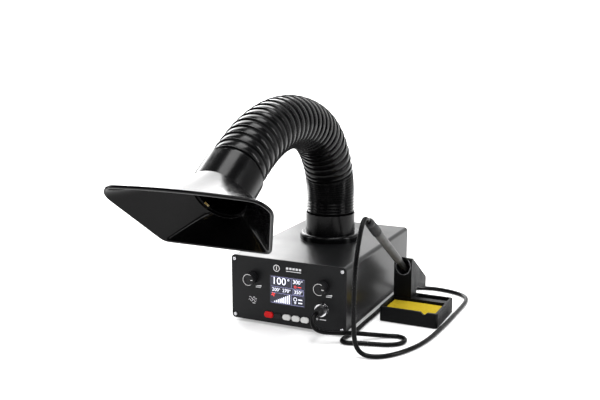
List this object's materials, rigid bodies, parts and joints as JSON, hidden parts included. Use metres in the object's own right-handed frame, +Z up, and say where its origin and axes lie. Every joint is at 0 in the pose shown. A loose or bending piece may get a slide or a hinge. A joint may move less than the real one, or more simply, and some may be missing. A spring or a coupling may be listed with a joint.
{
  "type": "soldering station with fume extractor",
  "caption": "Soldering station in a black metal case with a corrugated fume duct and flared hood, a corded iron, and a separate iron stand with sponge.",
  "frame": {"origin": "on the table under the middle of the case", "axes": "+Z up, -Y towards the user, +X to the user's right, where the iron stand is"},
  "size_m": [0.3432, 0.5962, 0.3623],
  "materials": {
    "black_case": "satin",
    "panel": "matt",
    "zinc_steel": "satin",
    "chrome_plate": "polished",
    "black_rubber": "matt",
    "black_plastic": "gloss",
    "stand_black": "matt",
    "grip_grey": "matt",
    "red_plastic": "gloss",
    "white_plastic": "gloss",
    "window": "gloss",
    "board": "satin",
    "grey_plastic": "matt",
    "aluminium": "satin",
    "filter_paper": "matt",
    "brass_part": "satin",
    "tip_copper": "satin",
    "sponge_foam": "matt",
    "lamp_lens": "gloss"
  },
  "bodies": {
    "station": {"case_cover": "black_case", "case_base": "black_case", "front_panel": "panel", "rear_panel": "panel", "panel_screws": "zinc_steel", "rubber_feet": "black_rubber", "feet_screws": "zinc_steel", "display_window": "window", "display_module": "grey_plastic", "control_board": "board", "board_pillars": "brass_part", "button_switches": "grey_plastic", "dial_controls": "aluminium", "iron_socket": "chrome_plate", "socket_nut": "zinc_steel", "iron_plug": "black_rubber", "plug_ring": "chrome_plate", "iron_cord": "black_rubber", "power_board": "board", "transformer": "zinc_steel", "capacitors": "grey_plastic", "mains_inlet": "stand_black", "switch_frame": "stand_black", "blower_housing": "stand_black", "blower_cover": "stand_black", "blower_motor": "aluminium", "exhaust_filter": "filter_paper", "duct_flange": "black_plastic", "duct_gasket": "black_rubber", "flange_screws": "zinc_steel", "stand_base": "stand_black", "holder_liner": "aluminium", "stand_feet": "black_rubber"},
    "fan_dial": {"fan_knob": "black_plastic", "fan_knob_shaft": "zinc_steel"},
    "temperature_dial": {"temperature_knob": "black_plastic", "temperature_knob_shaft": "zinc_steel"},
    "rocker": {"rocker_switch": "red_plastic"},
    "impeller": {"blower_impeller": "grey_plastic"},
    "cleaning_sponge": {"sponge": "sponge_foam"},
    "iron": {"iron_grip": "grip_grey", "iron_sleeve": "black_rubber", "iron_nose": "stand_black", "iron_tip": "tip_copper"},
    "hose_lower": {"duct_collar": "black_plastic", "hose_foot": "black_plastic", "hose_bend_1": "black_plastic"},
    "hose_middle": {"hose_rise": "black_plastic", "hose_bend_2": "black_plastic"},
    "hose_upper": {"hose_crown": "black_plastic", "hose_bend_3": "black_plastic"},
    "hose_far": {"hose_end": "black_plastic"},
    "hood": {"hood_collar": "black_plastic", "hood_shell": "black_plastic", "hood_lamp": "lamp_lens"},
    "power_button_cap": {"power_button": "red_plastic"},
    "light_button_cap": {"light_button": "black_plastic"},
    "preset_button_1_cap": {"preset_button_1": "white_plastic"},
    "preset_button_2_cap": {"preset_button_2": "white_plastic"},
    "preset_button_3_cap": {"preset_button_3": "white_plastic"}
  },
  "joints": [
    {"name": "power_button_press", "type": "slide", "parent": "station", "child": "power_button_cap", "axis": [0, 1, 0], "range_m": [0, 0.001], "stiffness_N_per_m": 600},
    {"name": "light_button_press", "type": "slide", "parent": "station", "child": "light_button_cap", "axis": [0, 1, 0], "range_m": [0, 0.001], "stiffness_N_per_m": 600},
    {"name": "preset_button_1_press", "type": "slide", "parent": "station", "child": "preset_button_1_cap", "axis": [0, 1, 0], "range_m": [0, 0.001], "stiffness_N_per_m": 600},
    {"name": "preset_button_2_press", "type": "slide", "parent": "station", "child": "preset_button_2_cap", "axis": [0, 1, 0], "range_m": [0, 0.001], "stiffness_N_per_m": 600},
    {"name": "preset_button_3_press", "type": "slide", "parent": "station", "child": "preset_button_3_cap", "axis": [0, 1, 0], "range_m": [0, 0.001], "stiffness_N_per_m": 600},
    {"name": "fan_dial_turn", "type": "hinge", "parent": "station", "child": "fan_dial", "pos_m": [-0.06, -0.1464, 0.0755], "axis": [0, 1, 0], "range_deg": [-150, 150]},
    {"name": "temperature_dial_turn", "type": "hinge", "parent": "station", "child": "temperature_dial", "pos_m": [0.06, -0.1464, 0.0755], "axis": [0, 1, 0], "range_deg": [-150, 150]},
    {"name": "mains_rocker", "type": "hinge", "parent": "station", "child": "rocker", "pos_m": [0.06, 0.1424, 0.071], "axis": [1, 0, 0], "range_deg": [0, 16]},
    {"name": "impeller_spin", "type": "hinge", "parent": "station", "child": "impeller", "pos_m": [0, 0.0223, 0.085], "axis": [0, 0, 1], "continuous": true},
    {"name": "sponge_lift", "type": "slide", "parent": "station", "child": "cleaning_sponge", "axis": [0, 0, 1], "range_m": [0, 0.03]},
    {"name": "iron_draw", "type": "slide", "parent": "station", "child": "iron", "axis": [0, -0.8348, 0.5505], "range_m": [0, 0.12], "deforming": ["iron_cord"]},
    {"name": "duct_swivel", "type": "hinge", "parent": "station", "child": "hose_lower", "pos_m": [0, 0.0223, 0.1203], "axis": [0, 0, -1], "range_deg": [-90, 90]},
    {"name": "lower_bend", "type": "hinge", "parent": "hose_lower", "child": "hose_middle", "pos_m": [0, 0.02086, 0.19623], "axis": [-1, 0, 0], "range_deg": [-10, 25], "deforming": ["hose_bend_1"]},
    {"name": "middle_bend", "type": "hinge", "parent": "hose_middle", "child": "hose_upper", "pos_m": [0, -0.04932, 0.29788], "axis": [-1, 0, 0], "range_deg": [-15, 30], "deforming": ["hose_bend_2"]},
    {"name": "upper_bend", "type": "hinge", "parent": "hose_upper", "child": "hose_far", "pos_m": [0, -0.21969, 0.31239], "axis": [-1, 0, 0], "range_deg": [-20, 35], "deforming": ["hose_bend_3"]},
    {"name": "hood_turn", "type": "hinge", "parent": "hose_far", "child": "hood", "pos_m": [0, -0.30819, 0.26967], "axis": [0, -0.848, -0.5299], "range_deg": [-45, 45]}
  ]
}
